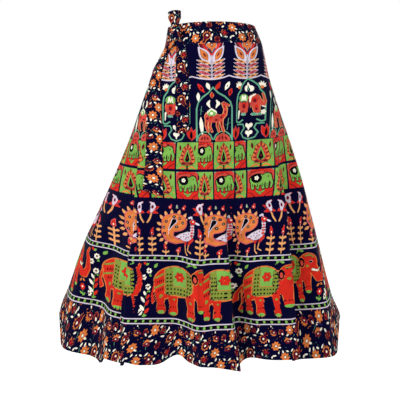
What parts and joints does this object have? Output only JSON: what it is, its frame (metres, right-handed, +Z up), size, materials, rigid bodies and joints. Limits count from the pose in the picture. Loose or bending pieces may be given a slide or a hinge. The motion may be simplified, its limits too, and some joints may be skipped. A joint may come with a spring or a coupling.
{
  "type": "wrap skirt",
  "caption": "Long flared wrap skirt of block printed navy cotton with bands of animals and flowers, a floral waistband, and ties knotted at the left front.",
  "frame": {"origin": "middle of the waist opening, at half the height of the waistband", "axes": "+Z up, -Y towards the front of the garment, +X to the right as seen from the front"},
  "size_m": [0.9398, 0.7946, 1.0934],
  "materials": {
    "printed_cotton": "matte plain weave cotton, screen printed in bands on a navy ground",
    "floral_cotton": "matte plain weave cotton with a small floral print, for the waistband and ties"
  },
  "bodies": {
    "root": {"panel_front_outer": "printed_cotton", "panel_back": "printed_cotton", "panel_front_under": "printed_cotton", "waistband": "floral_cotton", "waistband_under": "floral_cotton", "tie_tail_long": "floral_cotton", "tie_tail_short": "floral_cotton", "tie_lead": "floral_cotton", "tie_knot": "floral_cotton", "tie_loop": "floral_cotton"}
  },
  "joints": []
}
